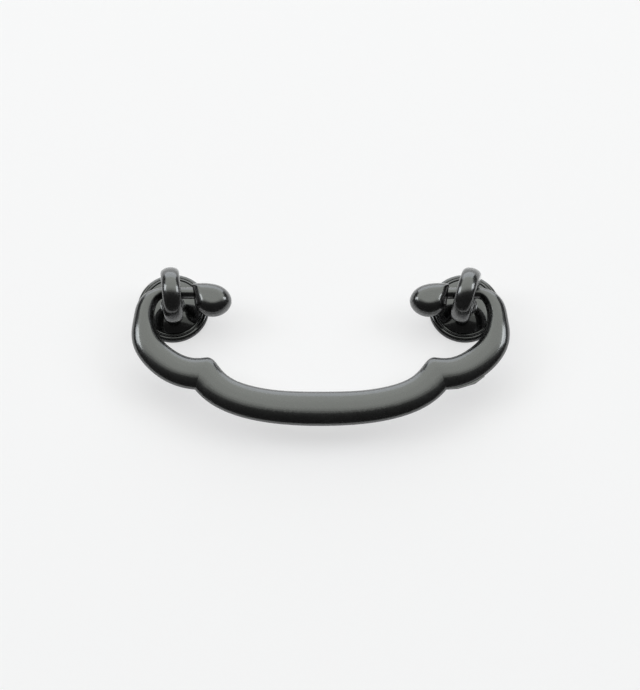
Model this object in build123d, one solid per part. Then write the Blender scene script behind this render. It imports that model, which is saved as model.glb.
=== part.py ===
from build123d import *
import os

# A drop-handle drawer pull, its bail hanging flat along the drawer front. All sizes are in millimetres.
# +Z leaves the drawer front, X runs along the line of the two posts, and the grip hangs towards -Y.
# The origin is midway between the posts, on the face of the drawer front.

# Fixing to the drawer front
HOLE_SPACING = 76.2
SCREW_RADIUS = 1.75
SCREW_DEPTH = 4.9
DRILL_POINT = 1.05
LEFT_POST_TURN = 5.5
RIGHT_POST_TURN = -16.0

# Rosette: a turned disc with a domed top, a bead, a groove and a rolled rim, hollowed behind
ROSETTE_RADIUS = 9.4
ROSETTE_HEIGHT = 2.7
ROSETTE_HOLE = 2.7
TOP_FLAT = 3.4
TOP_RADIUS = 7.45
TOP_RADIUS_HEIGHT = 2.2
TOP_EDGE = 0.3
BEAD_HEIGHT = 1.95
BEAD_FOOT = 1.55
GROOVE_INNER = 8.2
GROOVE_OUTER = 8.45
GROOVE_FLOOR = 1.1
RIM_HEIGHT = 1.35
RIM_FOOT = 0.3
RECESS_OUTER = 8.1
RECESS_INNER = 4.2
RECESS_DEPTH = 0.7

# Post: a ring eye on a flared foot, with a spigot through the rosette
EYE_HEIGHT = 10.0
EYE_RADIUS = 7.3
EYE_HOLE = 3.4
EYE_WIDTH = 4.85
EYE_CROWN = 1.4
EYE_INNER_ROUND = 0.8
FOOT_RADIUS = 3.3
FOOT_NECK = 2.3
FOOT_LIP = 0.35
FOOT_TOP = 5.0
SPIGOT_RADIUS = 2.6

# Bail: round necks, two open loops and a broad grip, all one casting.
# Plan points are measured from the line through the posts' middles: across, then towards the grip.
# The thin necks lie off the middle of the eyes' wide holes.
HINGE_HEIGHT = 9.2
NECK_RISE = 0.85
NECK_RADIUS = 1.5
BAIL_SHIFT = 0.45
NECK_INNER_END = 32.6
NECK_OUTER_END = 41.0
NECK_OVERLAP = 1.2
TANG_RADIUS = 1.0
TANG_LENGTH = 4.4
TANG_CHAMFER = 0.3
LOOP_OUTER = [(44.2, -1.5), (46.6, 0.4), (48.25, 5.2), (48.67, 12.3), (44.05, 20.2), (36.1, 24.95)]
LOOP_INNER = [(42.4, 2.2), (43.0, 6.2), (41.6, 11.0), (38.1, 14.7), (32.85, 17.1)]
LOOP_OUTER_FINISH = (0.99, -0.12)
LOOP_INNER_FINISH = (0.99, 0.14)
CUSP = (29.07, 16.92)
NOTCH = (32.28, 25.68)
GRIP_OUTER = [(27.38, 30.05), (17.84, 33.8), (7.93, 35.25)]
GRIP_INNER = [(27.57, 17.9), (24.66, 21.2), (17.88, 24.65), (10.23, 25.97)]
GRIP_OUTER_MIDDLE = 35.52
GRIP_INNER_MIDDLE = 26.3
FRONT_HEIGHT = 2.3
BACK_HEIGHT = 2.0
LOOP_STATIONS = 11
GRIP_STATIONS = 15

# Casting flash: a thin web left on the outer edge of the right loop, beside its notch
FLASH = [(32.6, 25.6), (35.3, 25.4), (39.65, 24.05), (42.1, 22.1), (40.4, 21.3), (33.6, 23.8)]
FLASH_THICKNESS = 0.7

# Finials: flattened drops pressed on the tangs of the necks, in the bail's plan
FINIAL_SHOULDER = [(33.3, -3.2), (32.65, 2.01)]
FINIAL_ROUND = [(28.59, -3.35), (24.26, -1.42), (23.04, 1.45), (25.08, 4.66), (28.86, 5.43), (31.45, 4.14)]
FINIAL_THICKNESS = 6.4
FINIAL_RIM = 1.9
FINIAL_SEAT = 1.2


def plan(point):
    """Turns a distance across and a drop towards the grip into a point of the bail's flat plan."""
    return Vector(-point[0], -point[1], 0)


def section(outer, inner, front, back):
    """An oval across the bail from its outer to its inner edge, crowned in front and flatter behind."""
    across = inner - outer
    plane = Plane(origin=(outer + inner) / 2, x_dir=across, z_dir=across.cross(Vector(0, 0, 1)))
    half = across.length / 2
    crown = EllipticalCenterArc((0, 0), half, front, 0, arc_size=180)
    belly = EllipticalCenterArc((0, 0), half, back, 180, arc_size=180)
    return plane * make_face(Curve() + [crown, belly])


def stations(outer_edge, inner_edge, count, heights):
    """Ovals at equal fractions of the two edges, with the front and back heights of each fraction."""
    fractions = [step / (count - 1) for step in range(count)]
    return [section(outer_edge @ part, inner_edge @ part, *heights(part)) for part in fractions]


def loop_heights(part):
    """The round section of the neck flattens to that of the grip over the first third of a loop."""
    blend = min(part * 3, 1)
    front = NECK_RADIUS + (FRONT_HEIGHT - NECK_RADIUS) * blend
    back = NECK_RADIUS + (BACK_HEIGHT - NECK_RADIUS) * blend
    return front, back


def grip_heights(part):
    """The grip keeps one height in front and one behind."""
    return FRONT_HEIGHT, BACK_HEIGHT


def make_rosette():
    """The stepped disc under a post, turned about the screw's axis."""
    outline = Polyline(
        (TOP_FLAT, ROSETTE_HEIGHT),
        (ROSETTE_HOLE, ROSETTE_HEIGHT),
        (ROSETTE_HOLE, 0),
        (RECESS_INNER, 0),
        (RECESS_INNER, RECESS_DEPTH),
        (RECESS_OUTER - RECESS_DEPTH, RECESS_DEPTH),
        (RECESS_OUTER, 0),
        (ROSETTE_RADIUS, 0),
        (ROSETTE_RADIUS, RIM_FOOT),
    )
    rim = EllipticalCenterArc(
        (GROOVE_OUTER, RIM_FOOT), ROSETTE_RADIUS - GROOVE_OUTER, RIM_HEIGHT - RIM_FOOT, 0
    )
    groove = Polyline(
        (GROOVE_OUTER, RIM_HEIGHT),
        (GROOVE_OUTER, GROOVE_FLOOR),
        (GROOVE_INNER, GROOVE_FLOOR),
        (GROOVE_INNER, BEAD_FOOT),
    )
    bead_middle = ((TOP_RADIUS + GROOVE_INNER) / 2, BEAD_HEIGHT)
    bead = ThreePointArc((GROOVE_INNER, BEAD_FOOT), bead_middle, (TOP_RADIUS, BEAD_FOOT))
    brink = (TOP_RADIUS, TOP_RADIUS_HEIGHT)
    wall = Line((TOP_RADIUS, BEAD_FOOT), brink)
    dome = TangentArc((TOP_FLAT, ROSETTE_HEIGHT), brink, tangent=(1, 0))
    profile = make_face(Curve() + [outline, rim, groove, bead, wall, dome])
    profile = fillet(profile.vertices().sort_by_distance(brink)[0], TOP_EDGE)
    return revolve(Plane.XZ * profile, Axis.Z)


def make_eye():
    """The ring that a neck turns in: flat sides, an oval crown and a rounded mouth."""
    half = EYE_WIDTH / 2
    shoulder = EYE_RADIUS - EYE_CROWN
    sides = Polyline((half, shoulder), (half, EYE_HOLE), (-half, EYE_HOLE), (-half, shoulder))
    crown = EllipticalCenterArc((0, shoulder), half, EYE_CROWN, 0, arc_size=180)
    profile = make_face(Curve() + [sides, crown])
    profile = fillet(profile.vertices().sort_by(Axis.Y)[:2], EYE_INNER_ROUND)
    ring = revolve(profile, Axis.X)
    return Pos(0, 0, EYE_HEIGHT) * ring


def make_foot():
    """The flared foot under the eye, with the spigot that fills the rosette's hole."""
    outline = Polyline(
        (FOOT_NECK, FOOT_TOP),
        (0, FOOT_TOP),
        (0, 0),
        (SPIGOT_RADIUS, 0),
        (SPIGOT_RADIUS, ROSETTE_HEIGHT),
        (FOOT_RADIUS, ROSETTE_HEIGHT),
        (FOOT_RADIUS, ROSETTE_HEIGHT + FOOT_LIP),
    )
    flare = EllipticalCenterArc(
        (FOOT_RADIUS, FOOT_TOP), FOOT_RADIUS - FOOT_NECK, FOOT_TOP - ROSETTE_HEIGHT - FOOT_LIP, 180
    )
    return revolve(Plane.XZ * make_face(Curve() + [outline, flare]), Axis.Z)


def make_screw_hole():
    """The hole drilled into the post from behind, with its conical end."""
    outline = Polyline(
        (0, 0),
        (SCREW_RADIUS, 0),
        (SCREW_RADIUS, SCREW_DEPTH),
        (0, SCREW_DEPTH + DRILL_POINT),
        close=True,
    )
    return revolve(Plane.XZ * make_face(outline), Axis.Z)


def make_post():
    """One post, standing on the drawer front."""
    return make_eye() + make_foot() - make_screw_hole()


def make_neck():
    """One round neck with the tang that holds its finial, along -X from the finial's shoulder."""
    straight = NECK_OUTER_END - NECK_OVERLAP - NECK_INNER_END
    neck = extrude(Plane.YZ * Circle(NECK_RADIUS), straight, dir=(-1, 0, 0))
    tang = extrude(Plane.YZ * Circle(TANG_RADIUS), TANG_LENGTH, dir=(1, 0, 0))
    tip = tang.edges().sort_by(Axis.X)[-1]
    tang = chamfer(tip, TANG_CHAMFER)
    return Pos(-NECK_INNER_END, NECK_RISE, 0) * (neck + tang)


def make_loop():
    """One loop, from the round neck round the outside to the line between its cusp and its notch."""
    outer, inner = loop_edges()
    inside_eye = Vector(NECK_OVERLAP, 0, 0)
    start = section((outer @ 0) + inside_eye, (inner @ 0) + inside_eye, NECK_RADIUS, NECK_RADIUS)
    return loft([start] + stations(outer, inner, LOOP_STATIONS, loop_heights))


def loop_edges():
    """The outer and the inner plan edge of the left loop, from the neck to the notch and to the cusp."""
    edges = []
    for offset, points, end, finish in (
        (-NECK_RISE - NECK_RADIUS, LOOP_OUTER, NOTCH, LOOP_OUTER_FINISH),
        (-NECK_RISE + NECK_RADIUS, LOOP_INNER, CUSP, LOOP_INNER_FINISH),
    ):
        start = plan((NECK_OUTER_END, offset))
        through = [start] + [plan(p) for p in points] + [plan(end)]
        ways = (Vector(-1, 0, 0), Vector(*finish))
        edges.append(Spline(*through, tangents=ways, tangent_scalars=(1, 1)))
    return edges


def make_grip():
    """The grip, from the notch and cusp of the left loop to those of the right one."""
    outer = mirrored_spline([NOTCH] + GRIP_OUTER, GRIP_OUTER_MIDDLE)
    inner = mirrored_spline([CUSP] + GRIP_INNER, GRIP_INNER_MIDDLE)
    return loft(stations(outer, inner, GRIP_STATIONS, grip_heights))


def mirrored_spline(half, middle):
    """A smooth plan edge through points on the left, the middle and the same points on the right."""
    left = [plan(p) for p in half]
    right = [Vector(-p.X, p.Y, 0) for p in reversed(left)]
    return Spline(*left, Vector(0, -middle, 0), *right)


def make_flash():
    """The web of flash, in the parting plane of the casting."""
    outline = Polyline(*[(across, -drop) for across, drop in FLASH], close=True)
    return extrude(make_face(outline), FLASH_THICKNESS / 2, both=True)


def make_finial():
    """A flattened drop with one flat shoulder, its rim well rounded, seated and bored for a neck."""
    corners = [plan(p) for p in FINIAL_SHOULDER]
    rounds = [plan(p) for p in FINIAL_ROUND]
    outline = Curve() + [Line(corners[1], corners[0]), Spline(corners[0], *rounds, corners[1])]
    drop = extrude(make_face(outline), FINIAL_THICKNESS / 2, both=True).clean()
    faces = drop.faces().filter_by(Plane.XY)
    drop = fillet([face.edges().sort_by(SortBy.LENGTH)[-1] for face in faces], FINIAL_RIM)
    seat = extrude(Plane.YZ * Circle(NECK_RADIUS), FINIAL_SEAT, dir=(-1, 0, 0))
    bore = extrude(Plane.YZ * Circle(TANG_RADIUS), TANG_LENGTH + TANG_CHAMFER, dir=(1, 0, 0))
    return drop - Pos(-NECK_INNER_END, NECK_RISE, 0) * (seat + bore)


HANG = Pos(BAIL_SHIFT, 0, HINGE_HEIGHT)

left_arm = make_neck() + make_loop()
bail = left_arm + make_grip() + mirror(left_arm, Plane.YZ) + make_flash()
finial = make_finial()

post = make_post()
rosette = make_rosette()
left = Pos(-HOLE_SPACING / 2, 0, 0)
right = Pos(HOLE_SPACING / 2, 0, 0)

nodes = {
    "bail": HANG * bail,
    "left_finial": HANG * finial,
    "right_finial": HANG * mirror(finial, Plane.YZ),
    "left_post": left * Rot(Z=LEFT_POST_TURN) * post,
    "right_post": right * Rot(Z=RIGHT_POST_TURN) * post,
    "left_rosette": left * rosette,
    "right_rosette": right * rosette,
}

os.makedirs("parts", exist_ok=True)
for name, solid in nodes.items():
    export_step(solid, f"parts/{name}.step")
print(f"hinge height {HINGE_HEIGHT:.3f}")
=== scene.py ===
"""Drops, rosettes, threads, paints and a photo studio for a black drop-handle drawer pull."""

import logging
from collections.abc import Callable
from dataclasses import dataclass, field
from enum import Enum
from math import cos, pi, radians, sin, tan

import bpy
import numpy as np
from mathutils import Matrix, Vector
from mathutils.geometry import convex_hull_2d


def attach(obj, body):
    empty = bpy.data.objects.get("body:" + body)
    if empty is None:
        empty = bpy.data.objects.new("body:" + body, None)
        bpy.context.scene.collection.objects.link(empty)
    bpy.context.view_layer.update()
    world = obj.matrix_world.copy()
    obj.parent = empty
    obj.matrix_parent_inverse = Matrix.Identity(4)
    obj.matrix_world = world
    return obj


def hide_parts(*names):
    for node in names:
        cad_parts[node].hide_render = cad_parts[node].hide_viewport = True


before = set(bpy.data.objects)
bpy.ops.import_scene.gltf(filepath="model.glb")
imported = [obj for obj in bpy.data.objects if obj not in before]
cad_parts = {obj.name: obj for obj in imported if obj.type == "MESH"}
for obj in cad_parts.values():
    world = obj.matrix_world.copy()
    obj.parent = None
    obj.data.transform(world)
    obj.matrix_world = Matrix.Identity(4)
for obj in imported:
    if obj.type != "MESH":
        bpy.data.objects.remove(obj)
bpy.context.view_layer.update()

MM = 0.001
log = logging.getLogger("drawer_pull")


class Side(Enum):
    """The two ends of the pull as the viewer sees them, and which way each lies along X."""

    LEFT = -1
    RIGHT = 1

    @property
    def label(self) -> str:
        """The side's name, as the nodes' names begin."""
        return self.name.lower()


class Body(Enum):
    """What moves together: the fixed posts, or the swinging handle."""

    POSTS = "posts"
    HANDLE = "handle"


class Slot(Enum):
    """The record's material slots."""

    SATIN = "black_paint"
    GLOSS = "polished_black"


@dataclass(frozen=True)
class StovePaint:
    """Black stove paint on a die casting, under a thin clear skin of its own resin.

    Sizes of the surface's unevenness are in millimetres. Thin and thick say at which heights of
    the long noise the paint is taken to be worn and full, and the peel's limits at which heights
    of the fine noise it is smoothest and roughest.
    """

    name: str
    pigment: float = 0.0035
    worn_pigment: float = 0.006
    thick: float = 0.35
    thin: float = 0.7
    paint_ior: float = 1.5
    smoothest: float = 0.26
    roughest: float = 0.36
    skin_roughness: float = 0.13
    skin_ior: float = 1.72
    wave_length: float = 3.6
    wave_height: float = 0.012
    wave_detail: float = 1.5
    peel_length: float = 0.45
    peel_height: float = 0.0011
    peel_detail: float = 2.0
    peel_limits: tuple[float, float] = (0.3, 0.7)

    def material(self) -> bpy.types.Material:
        """Builds the paint as a node material on object coordinates.

        Returns:
            The new material.
        """
        material = bpy.data.materials.new(self.name)
        material.use_nodes = True
        tree = material.node_tree
        shader = tree.nodes["Principled BSDF"]
        shader.inputs["IOR"].default_value = self.paint_ior
        shader.inputs["Coat Weight"].default_value = 1.0
        shader.inputs["Coat Roughness"].default_value = self.skin_roughness
        shader.inputs["Coat IOR"].default_value = self.skin_ior
        place = tree.nodes.new("ShaderNodeTexCoord")
        waves = self.noise(tree, place, self.wave_length, self.wave_detail)
        peel = self.noise(tree, place, self.peel_length, self.peel_detail)
        self.colour(tree, waves, shader)
        self.gloss(tree, peel, shader)
        self.relief(tree, waves, peel, shader)
        return material

    @staticmethod
    def noise(
        tree: bpy.types.NodeTree, place: bpy.types.Node, length: float, detail: float
    ) -> bpy.types.Node:
        """Adds noise of one wave length.

        Args:
            tree: The material's node tree.
            place: The texture coordinate node.
            length: The wave length, in millimetres.
            detail: How many finer octaves it has.

        Returns:
            The noise node.
        """
        noise = tree.nodes.new("ShaderNodeTexNoise")
        noise.inputs["Scale"].default_value = 1 / (length * MM)
        noise.inputs["Detail"].default_value = detail
        tree.links.new(place.outputs["Object"], noise.inputs["Vector"])
        return noise

    def colour(
        self, tree: bpy.types.NodeTree, waves: bpy.types.Node, shader: bpy.types.Node
    ) -> None:
        """Lets the black turn a little paler where the paint lies thinner.

        Args:
            tree: The material's node tree.
            waves: The noise that says where the paint is thin.
            shader: The shader that takes the colour.
        """
        ramp = tree.nodes.new("ShaderNodeValToRGB")
        stops = ((self.thick, self.pigment), (self.thin, self.worn_pigment))
        for stop, (position, grey) in zip(ramp.color_ramp.elements, stops):
            stop.position = position
            stop.color = (grey, grey, grey, 1)
        tree.links.new(waves.outputs["Fac"], ramp.inputs["Fac"])
        tree.links.new(ramp.outputs["Color"], shader.inputs["Base Color"])

    def gloss(
        self, tree: bpy.types.NodeTree, peel: bpy.types.Node, shader: bpy.types.Node
    ) -> None:
        """Makes the paint under the skin smoother and rougher from spot to spot.

        Args:
            tree: The material's node tree.
            peel: The fine noise.
            shader: The shader that takes the roughness.
        """
        spread = tree.nodes.new("ShaderNodeMapRange")
        low, high = self.peel_limits
        spread.inputs["From Min"].default_value = low
        spread.inputs["From Max"].default_value = high
        spread.inputs["To Min"].default_value = self.smoothest
        spread.inputs["To Max"].default_value = self.roughest
        tree.links.new(peel.outputs["Fac"], spread.inputs["Value"])
        tree.links.new(spread.outputs["Result"], shader.inputs["Roughness"])

    def relief(
        self,
        tree: bpy.types.NodeTree,
        waves: bpy.types.Node,
        peel: bpy.types.Node,
        shader: bpy.types.Node,
    ) -> None:
        """Adds the casting's long waves and the paint's orange peel as bump.

        Args:
            tree: The material's node tree.
            waves: The long noise.
            peel: The fine noise.
            shader: The shader that takes the normals.
        """
        below = None
        for noise, height in ((waves, self.wave_height), (peel, self.peel_height)):
            bump = tree.nodes.new("ShaderNodeBump")
            bump.inputs["Distance"].default_value = height * MM
            tree.links.new(noise.outputs["Fac"], bump.inputs["Height"])
            if below is not None:
                tree.links.new(below.outputs["Normal"], bump.inputs["Normal"])
            below = bump
        for socket in ("Normal", "Coat Normal"):
            tree.links.new(below.outputs["Normal"], shader.inputs[socket])


SATIN_PAINT = StovePaint("satin_stove_paint")
GLOSS_PAINT = StovePaint(
    "gloss_stove_paint",
    smoothest=0.12,
    roughest=0.18,
    skin_roughness=0.05,
    skin_ior=1.6,
    wave_height=0.004,
)


class Mesher:
    """The few modelling steps that several pieces share."""

    @staticmethod
    def pick(piece: bpy.types.Object) -> None:
        """Makes one object the only one selected, and the active one.

        Args:
            piece: The object.
        """
        bpy.ops.object.select_all(action="DESELECT")
        piece.select_set(True)
        bpy.context.view_layer.objects.active = piece

    @staticmethod
    def select_points(piece: bpy.types.Object, wanted: Callable[[Vector], bool]) -> None:
        """Selects points by their place and leaves the object in edit mode.

        Args:
            piece: The object.
            wanted: Says of a point's place whether the point is selected.
        """
        bpy.ops.object.mode_set(mode="EDIT")
        bpy.ops.mesh.select_mode(type="VERT")
        bpy.ops.mesh.select_all(action="DESELECT")
        bpy.ops.object.mode_set(mode="OBJECT")
        for point in piece.data.vertices:
            point.select = wanted(point.co)
        bpy.ops.object.mode_set(mode="EDIT")

    @staticmethod
    def merge(distance: float) -> None:
        """Merges the points of the object in edit mode that lie together.

        Args:
            distance: How near they lie, in millimetres.
        """
        bpy.ops.mesh.select_all(action="SELECT")
        bpy.ops.mesh.remove_doubles(threshold=distance * MM)

    @staticmethod
    def settle(piece: bpy.types.Object, sharp_angle: float) -> None:
        """Makes a piece's faces point outwards and shades it smooth up to an angle.

        Args:
            piece: The object.
            sharp_angle: The angle between faces, in degrees, from which an edge stays sharp.
        """
        Mesher.pick(piece)
        bpy.ops.object.mode_set(mode="EDIT")
        bpy.ops.mesh.select_all(action="SELECT")
        bpy.ops.mesh.normals_make_consistent(inside=False)
        bpy.ops.object.mode_set(mode="OBJECT")
        bpy.ops.object.shade_smooth_by_angle(angle=radians(sharp_angle))


@dataclass
class CastPiece:
    """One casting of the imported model, which keeps its shape and gets its finish here."""

    node: str

    def dress(self, finish: bpy.types.Material) -> None:
        """Paints the casting.

        Args:
            finish: The material that covers it all over.
        """
        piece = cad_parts[self.node]
        piece.data.materials.clear()
        piece.data.materials.append(finish)
        log.info("painted %s with %s", self.node, finish.name)


@dataclass
class Finial:
    """A flattened drop with a half round rim and one flat shoulder.

    Sizes are in millimetres and angles in degrees. The seam is where the casting's straight side
    ends, above the drop's middle.
    """

    side: Side
    middle_height: float = 9.2
    thickness: float = 6.4
    seam_rise: float = 1.3
    seam_slack: float = 0.002
    flattest_corner: float = 0.0001
    angle_step: int = 5
    merge_distance: float = 0.01
    sharp_angle: float = 40

    def build(self) -> bpy.types.Object:
        """Draws a stack of ever smaller outlines from the casting's own, and skins them.

        Returns:
            The finial's mesh object.
        """
        rim = self.rim_line()
        middle = self.middle_height * MM
        radius = self.thickness / 2 * MM
        points = []
        for angle in range(0, 91, self.angle_step):
            outline = self.inset(rim, radius * (1 - cos(radians(angle))))
            rise = radius * sin(radians(angle))
            for height in sorted({middle - rise, middle + rise}):
                points += [(x, y, height) for x, y in outline]
        name = f"{self.side.label}_finial_drop"
        mesh = bpy.data.meshes.new(name)
        mesh.from_pydata(points, [], [])
        finial = bpy.data.objects.new(name, mesh)
        bpy.context.collection.objects.link(finial)
        Mesher.pick(finial)
        bpy.ops.object.mode_set(mode="EDIT")
        Mesher.merge(self.merge_distance)
        bpy.ops.mesh.select_all(action="SELECT")
        bpy.ops.mesh.convex_hull()
        bpy.ops.object.mode_set(mode="OBJECT")
        Mesher.settle(finial, self.sharp_angle)
        return finial

    def rim_line(self) -> np.ndarray:
        """Reads the curved rim from the casting, at the top of its straight side.

        The hull leaves out the notch that the bail's tang fills, and points that lie along the
        flat shoulder make no corner. So the shoulder is the longest stretch.

        Returns:
            Points in plan from one end of the shoulder round to the other, with the drop on
            their left.
        """
        seam = (self.middle_height + self.seam_rise) * MM
        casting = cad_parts[f"{self.side.label}_finial"].data
        near = [p.co for p in casting.vertices if abs(p.co.z - seam) < self.seam_slack * MM]
        ring = [Vector(spot) for spot in sorted({(co.x, co.y) for co in near})]
        line = np.array([ring[index] for index in convex_hull_2d(ring)])
        coming, going = line - np.roll(line, 1, axis=0), np.roll(line, -1, axis=0) - line
        bends = coming[:, 0] * going[:, 1] - coming[:, 1] * going[:, 0]
        if bends.sum() < 0:
            line, bends = line[::-1], -bends[::-1]
        line = line[bends > self.flattest_corner * MM**2]
        going = np.roll(line, -1, axis=0) - line
        shoulder = int(np.linalg.norm(going, axis=1).argmax())
        return np.roll(line, -1 - shoulder, axis=0)

    @staticmethod
    def inset(rim: np.ndarray, depth: float) -> np.ndarray:
        """Moves the curved rim inwards and leaves the flat shoulder where it is.

        Args:
            rim: The rim in plan, with the drop on its left.
            depth: How far each stretch of the rim moves inwards.

        Returns:
            The corners of what is left.
        """
        left = rim
        for start, end in zip(rim[:-1], rim[1:]):
            way = (end - start) / np.linalg.norm(end - start)
            inside = (left - start) @ np.array((-way[1], way[0])) - depth
            kept = []
            for index, here in enumerate(inside):
                behind = inside[index - 1]
                if (here < 0) != (behind < 0):
                    share = behind / (behind - here)
                    kept.append(left[index - 1] + share * (left[index] - left[index - 1]))
                if here >= 0:
                    kept.append(left[index])
            left = np.array(kept)
        return left


@dataclass
class Rosette:
    """A turned disc with a sloping top, a bead, a groove and a rolled rim.

    Sizes are in millimetres and angles in degrees. The brink is the slope's lower edge, and each
    break is how far out and up a point lies that takes the sharpness off an edge.
    """

    side: Side
    half_spacing: float = 38.1
    radius: float = 9.398
    hole: float = 2.7
    height: float = 2.7
    hub: float = 3.2
    hub_break: tuple[float, float] = (0.2, -0.04)
    brink_radius: float = 7.45
    brink_height: float = 1.66
    brink_breaks: tuple[tuple[float, float], ...] = ((0, -0.08), (-0.05, 0), (-0.15, 0.05))
    bead_radius: float = 8.2
    bead_height: float = 1.75
    bead_foot: float = 1.4
    groove_radius: float = 8.45
    groove_floor: float = 1.0
    rim_height: float = 1.3
    rim_foot: float = 0.3
    recess_inner: float = 4.2
    recess_outer: float = 8.1
    recess_depth: float = 0.7
    arc_step: int = 10
    steps: int = 160
    end_slack: float = 0.01
    merge_distance: float = 0.002
    sharp_angle: float = 32

    def profile(self) -> list[tuple[float, float]]:
        """Lists the turned outline's points, round from the foot of the hole.

        Returns:
            Distances from the axis and heights.
        """
        inner, outer, depth = self.recess_inner, self.recess_outer, self.recess_depth
        back = [(self.hole, 0), (inner, 0), (inner, depth), (outer - depth, depth), (outer, 0)]
        rim_middle = (self.groove_radius, self.rim_foot)
        rim = self.arc(rim_middle, (self.radius, self.rim_height), 0, 90)
        groove = [(self.groove_radius, self.groove_floor), (self.bead_radius, self.groove_floor)]
        bead_middle = ((self.brink_radius + self.bead_radius) / 2, self.bead_foot)
        bead = self.arc(bead_middle, (self.bead_radius, self.bead_height), 0, 180)
        brink = [
            (self.brink_radius + out, self.brink_height + up) for out, up in self.brink_breaks
        ]
        out, up = self.hub_break
        hub = [(self.hub + out, self.height + up), (self.hub, self.height)]
        return back + [(self.radius, 0)] + rim + groove + bead + brink + hub + [
            (self.hole, self.height)
        ]

    def arc(
        self, middle: tuple[float, float], reach: tuple[float, float], start: int, finish: int
    ) -> list[tuple[float, float]]:
        """Lists points on an ellipse.

        Args:
            middle: The ellipse's middle.
            reach: How far out and how high the ellipse goes.
            start: The first angle.
            finish: The last angle.

        Returns:
            Distances from the axis and heights.
        """
        across, up = reach[0] - middle[0], reach[1] - middle[1]
        angles = [radians(angle) for angle in range(start, finish + 1, self.arc_step)]
        return [(middle[0] + across * cos(turn), middle[1] + up * sin(turn)) for turn in angles]

    def build(self) -> bpy.types.Object:
        """Draws the outline point by point and turns it about the post's axis.

        Returns:
            The rosette's mesh object.
        """
        axis = self.side.value * self.half_spacing
        points = self.profile()
        bpy.ops.object.select_all(action="DESELECT")
        bpy.ops.mesh.primitive_plane_add(size=MM)
        rosette = bpy.context.object
        rosette.name = f"{self.side.label}_rosette_turned"
        bpy.ops.object.mode_set(mode="EDIT")
        bpy.ops.mesh.select_all(action="SELECT")
        bpy.ops.mesh.merge(type="CENTER")
        here = (-axis, 0)
        for index, (distance, height) in enumerate(points):
            step = {"value": ((distance - here[0]) * MM, 0, (height - here[1]) * MM)}
            if index == 0:
                bpy.ops.transform.translate(**step)
            else:
                bpy.ops.mesh.extrude_region_move(TRANSFORM_OT_translate=step)
            here = (distance, height)
        ends = [
            Vector(((axis + distance) * MM, 0, height * MM))
            for distance, height in (points[0], points[-1])
        ]
        slack = self.end_slack * MM
        Mesher.select_points(
            rosette, lambda place: min((place - end).length for end in ends) < slack
        )
        bpy.ops.mesh.edge_face_add()
        bpy.ops.mesh.select_all(action="SELECT")
        bpy.ops.mesh.spin(
            steps=self.steps, angle=2 * pi, center=(axis * MM, 0, 0), axis=(0, 0, 1)
        )
        Mesher.merge(self.merge_distance)
        bpy.ops.object.mode_set(mode="OBJECT")
        Mesher.settle(rosette, self.sharp_angle)
        return rosette


@dataclass
class ScrewThread:
    """The thread tapped in a post's screw hole, as a ridge wound round the bore.

    Sizes are in millimetres and angles in degrees.
    """

    side: Side
    half_spacing: float = 38.1
    bore_radius: float = 1.75
    ridge_height: float = 0.16
    ridge_sides: int = 3
    pitch: float = 0.7
    start: float = 0.35
    turns: int = 6
    steps: int = 36
    sharp_angle: float = 40

    def build(self) -> bpy.types.Object:
        """Winds the ridge and puts it in its bore.

        Returns:
            The thread's mesh object.
        """
        bpy.ops.object.select_all(action="DESELECT")
        bpy.ops.mesh.primitive_circle_add(
            vertices=self.ridge_sides,
            radius=self.ridge_height * MM,
            location=(self.bore_radius * MM, 0, self.start * MM),
            rotation=(pi / 2, 0, pi / 2),
        )
        thread = bpy.context.object
        thread.name = f"{self.side.label}_thread"
        bpy.ops.object.transform_apply(location=True, rotation=True, scale=True)
        wind = thread.modifiers.new("wind", "SCREW")
        wind.axis = "Z"
        wind.angle = 2 * pi
        wind.screw_offset = self.pitch * MM
        wind.iterations = self.turns
        wind.steps = wind.render_steps = self.steps
        bpy.ops.object.modifier_apply(modifier=wind.name)
        thread.location = (self.side.value * self.half_spacing * MM, 0, 0)
        bpy.ops.object.transform_apply(location=True, rotation=False, scale=False)
        Mesher.settle(thread, self.sharp_angle)
        return thread


class SubAssembly:
    """What the fixed and the swinging parts share: how a new piece is painted and tied in."""

    @staticmethod
    def fit(
        piece: bpy.types.Object,
        body: Body,
        slot: Slot,
        finish: bpy.types.Material,
        *replaced: str,
    ) -> None:
        """Paints a new piece, ties it to its body and hides the castings that it stands for.

        Args:
            piece: The new piece.
            body: The body that it moves with.
            slot: The record's slot that its finish comes from; not used.
            finish: The material that covers it all over.
            replaced: The castings that it stands for, if any.
        """
        piece.data.materials.clear()
        piece.data.materials.append(finish)
        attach(piece, body.value)
        if replaced:
            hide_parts(*replaced)
        faces = len(piece.data.polygons)
        log.info("%s rides on %s with %d faces", piece.name, body.value, faces)


@dataclass
class Fixing(SubAssembly):
    """One fixed end of the pull: a post, the rosette under it and the thread in the post."""

    side: Side
    rosette: bpy.types.Object = field(init=False)
    thread: bpy.types.Object = field(init=False)

    def build(self) -> None:
        """Turns the rosette and winds the thread."""
        self.rosette = Rosette(self.side).build()
        self.thread = ScrewThread(self.side).build()

    def dress(self, satin: bpy.types.Material, gloss: bpy.types.Material) -> None:
        """Paints the three pieces and ties the new ones to the posts' body.

        Args:
            satin: The paint of the post and its thread.
            gloss: The paint of the rosette.
        """
        label = self.side.label
        CastPiece(f"{label}_post").dress(satin)
        self.fit(self.rosette, Body.POSTS, Slot.GLOSS, gloss, f"{label}_rosette")
        self.fit(self.thread, Body.POSTS, Slot.SATIN, satin)


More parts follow.
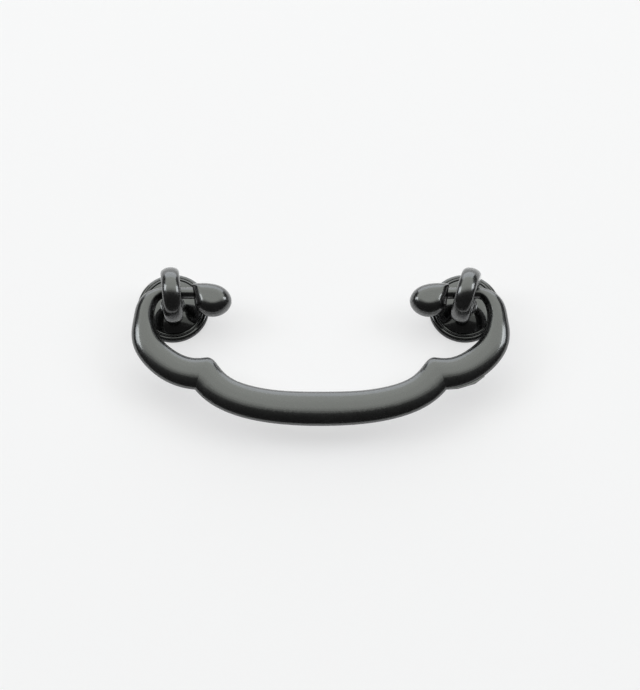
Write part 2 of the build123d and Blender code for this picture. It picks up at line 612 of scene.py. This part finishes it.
@dataclass
class Handle(SubAssembly):
    """The swinging part of the pull: the bail and the drop on each of its ends."""

    bail: CastPiece
    drops: dict[Side, bpy.types.Object] = field(default_factory=dict)

    def build(self) -> None:
        """Shapes the two drops."""
        self.drops = {side: Finial(side).build() for side in Side}

    def dress(self, satin: bpy.types.Material) -> None:
        """Paints the three pieces and ties the drops to the handle's body.

        Args:
            satin: The paint.
        """
        self.bail.dress(satin)
        for side, drop in self.drops.items():
            self.fit(drop, Body.HANDLE, Slot.SATIN, satin, f"{side.label}_finial")


@dataclass(frozen=True)
class CeilingStrip:
    """One evenly lit strip of the tent's ceiling, between two angles behind the vertical."""

    name: str
    front: float
    back: float
    radiance: float


@dataclass(frozen=True)
class SoftBox:
    """One evenly lit screen that faces the pull. Angles in degrees, lengths in metres."""

    name: str
    azimuth: float
    elevation: float
    distance: float
    width: float
    height: float
    radiance: float


@dataclass
class Studio:
    """A light tent over a pale table, open towards the camera. Lengths in metres."""

    table_size: float = 12.0
    table_white: tuple[float, float, float] = (0.932, 0.905, 0.93)
    table_roughness: float = 0.9
    table_seen: float = 0.94
    table_glow: float = 0.6
    overhead_tint: tuple[float, float, float] = (0.955, 1.0, 0.94)
    side_tint: tuple[float, float, float] = (0.95, 1.0, 1.03)
    ceiling_height: float = 2.0
    half_width: float = 2.2
    room: float = 0.05
    backdrop: float = 0.93
    strips: tuple[CeilingStrip, ...] = (
        CeilingStrip("ceiling_edge", -7, 1, 0.6),
        CeilingStrip("ceiling_front", 1, 9, 1.35),
        CeilingStrip("ceiling_middle", 9, 32, 1.7),
        CeilingStrip("ceiling_back", 32, 62, 1.8),
    )
    boxes: tuple[SoftBox, ...] = (
        SoftBox("left_box", 165, 38, 2.4, 0.9, 1.0, 4.5),
        SoftBox("right_box", 15, 38, 2.4, 0.9, 1.0, 4.5),
        SoftBox("back_screen", 90, 14, 3.6, 4.4, 1.9, 2.2),
    )

    def build(self) -> None:
        """Sets up the table, the lit ceiling, the screens round it and the dim room."""
        self.table()
        for strip in self.strips:
            self.hang(strip)
        for box in self.boxes:
            self.stand(box)
        self.surroundings()

    def table(self) -> None:
        """Lays the pale table that the pull rests on."""
        bpy.ops.mesh.primitive_plane_add(size=self.table_size)
        table = bpy.context.object
        table.name = "table"
        material = bpy.data.materials.new("white_table")
        material.use_nodes = True
        tree = material.node_tree
        lit = tree.nodes["Principled BSDF"]
        lit.inputs["Base Color"].default_value = (*self.table_white, 1)
        lit.inputs["Roughness"].default_value = self.table_roughness
        lit.inputs["Specular IOR Level"].default_value = 0.0
        glow = tree.nodes.new("ShaderNodeEmission")
        glow.inputs["Color"].default_value = (*[self.table_seen] * 3, 1)
        path = tree.nodes.new("ShaderNodeLightPath")
        share = tree.nodes.new("ShaderNodeMath")
        share.operation = "MULTIPLY"
        share.inputs[1].default_value = self.table_glow
        mix = tree.nodes.new("ShaderNodeMixShader")
        tree.links.new(path.outputs["Is Camera Ray"], share.inputs[0])
        tree.links.new(share.outputs["Value"], mix.inputs["Fac"])
        tree.links.new(lit.outputs["BSDF"], mix.inputs[1])
        tree.links.new(glow.outputs["Emission"], mix.inputs[2])
        tree.links.new(mix.outputs["Shader"], tree.nodes["Material Output"].inputs["Surface"])
        table.data.materials.append(material)

    def hang(self, strip: CeilingStrip) -> None:
        """Hangs one strip of the ceiling level overhead.

        Args:
            strip: The strip.
        """
        front = self.ceiling_height * tan(radians(strip.front))
        back = self.ceiling_height * tan(radians(strip.back))
        place = Vector((0, (front + back) / 2, self.ceiling_height))
        size = (2 * self.half_width, back - front)
        self.lamp(strip.name, place, Vector((0, 0, 1)), size, strip.radiance, self.overhead_tint)

    def stand(self, box: SoftBox) -> None:
        """Stands one screen up, turned to the pull.

        Args:
            box: The screen.
        """
        turn, lift = radians(box.azimuth), radians(box.elevation)
        towards = Vector((cos(turn) * cos(lift), sin(turn) * cos(lift), sin(lift)))
        place = towards * box.distance
        self.lamp(
            box.name, place, towards, (box.width, box.height), box.radiance, self.side_tint
        )

    @staticmethod
    def lamp(
        name: str,
        place: Vector,
        away: Vector,
        size: tuple[float, float],
        radiance: float,
        tint: tuple[float, float, float],
    ) -> None:
        """Adds one evenly lit panel.

        Args:
            name: The lamp's name.
            place: Its middle.
            away: The direction that it turns its back to.
            size: Its size across, and upwards or, overhead, front to back.
            radiance: How bright its face is.
            tint: The colour of its light.
        """
        turn = away.to_track_quat("Z", "Y").to_euler()
        bpy.ops.object.light_add(type="AREA", location=place, rotation=turn)
        lamp = bpy.context.object
        lamp.name = name
        lamp.data.shape = "RECTANGLE"
        lamp.data.size, lamp.data.size_y = size
        lamp.data.energy = radiance * pi * size[0] * size[1]
        lamp.data.color = tint
        lamp.visible_camera = False

    def surroundings(self) -> None:
        """Makes the room dim for the light and for reflections, and pale for the camera."""
        world = bpy.data.worlds.new("room")
        bpy.context.scene.world = world
        world.use_nodes = True
        tree = world.node_tree
        dim = tree.nodes["Background"]
        dim.inputs["Color"].default_value = (1, 1, 1, 1)
        dim.inputs["Strength"].default_value = self.room
        pale = tree.nodes.new("ShaderNodeBackground")
        pale.inputs["Strength"].default_value = self.backdrop
        path = tree.nodes.new("ShaderNodeLightPath")
        mix = tree.nodes.new("ShaderNodeMixShader")
        tree.links.new(path.outputs["Is Camera Ray"], mix.inputs["Fac"])
        tree.links.new(dim.outputs["Background"], mix.inputs[1])
        tree.links.new(pale.outputs["Background"], mix.inputs[2])
        tree.links.new(mix.outputs["Shader"], tree.nodes["World Output"].inputs["Surface"])


@dataclass
class Camera:
    """The camera over the table, looking down from the grip's side.

    The elevation is in degrees, the sensor in millimetres, and the distance and the target in
    metres. Pixels are those of the photograph's frame.
    """

    elevation: float = 69.5
    distance: float = 0.9
    target: tuple[float, float, float] = (0.00027, -0.01004, 0.0)
    pixels_per_radian: float = 3454.0
    frame_height: float = 690.0
    sensor: float = 36.0

    def build(self) -> None:
        """Places the camera and makes it the scene's own."""
        lift = radians(self.elevation)
        back = Vector((0, -cos(lift), sin(lift)))
        place = Vector(self.target) + back * self.distance
        bpy.ops.object.camera_add(location=place, rotation=(pi / 2 - lift, 0, 0))
        camera = bpy.context.object
        camera.data.sensor_width = self.sensor
        camera.data.lens = self.sensor * self.pixels_per_radian / self.frame_height
        camera.data.dof.use_dof = False
        bpy.context.scene.camera = camera


def main() -> None:
    """Builds and dresses the pull, sets up the studio and reports each piece."""
    logging.basicConfig(level=logging.INFO, format="%(message)s")
    bpy.ops.object.select_all(action="DESELECT")
    bpy.context.scene.view_settings.view_transform = "Standard"
    satin = SATIN_PAINT.material()
    gloss = GLOSS_PAINT.material()
    for side in Side:
        fixing = Fixing(side)
        fixing.build()
        fixing.dress(satin, gloss)
    handle = Handle(CastPiece("bail"))
    handle.build()
    handle.dress(satin)
    Studio().build()
    Camera().build()


if __name__ == "__main__":
    main()
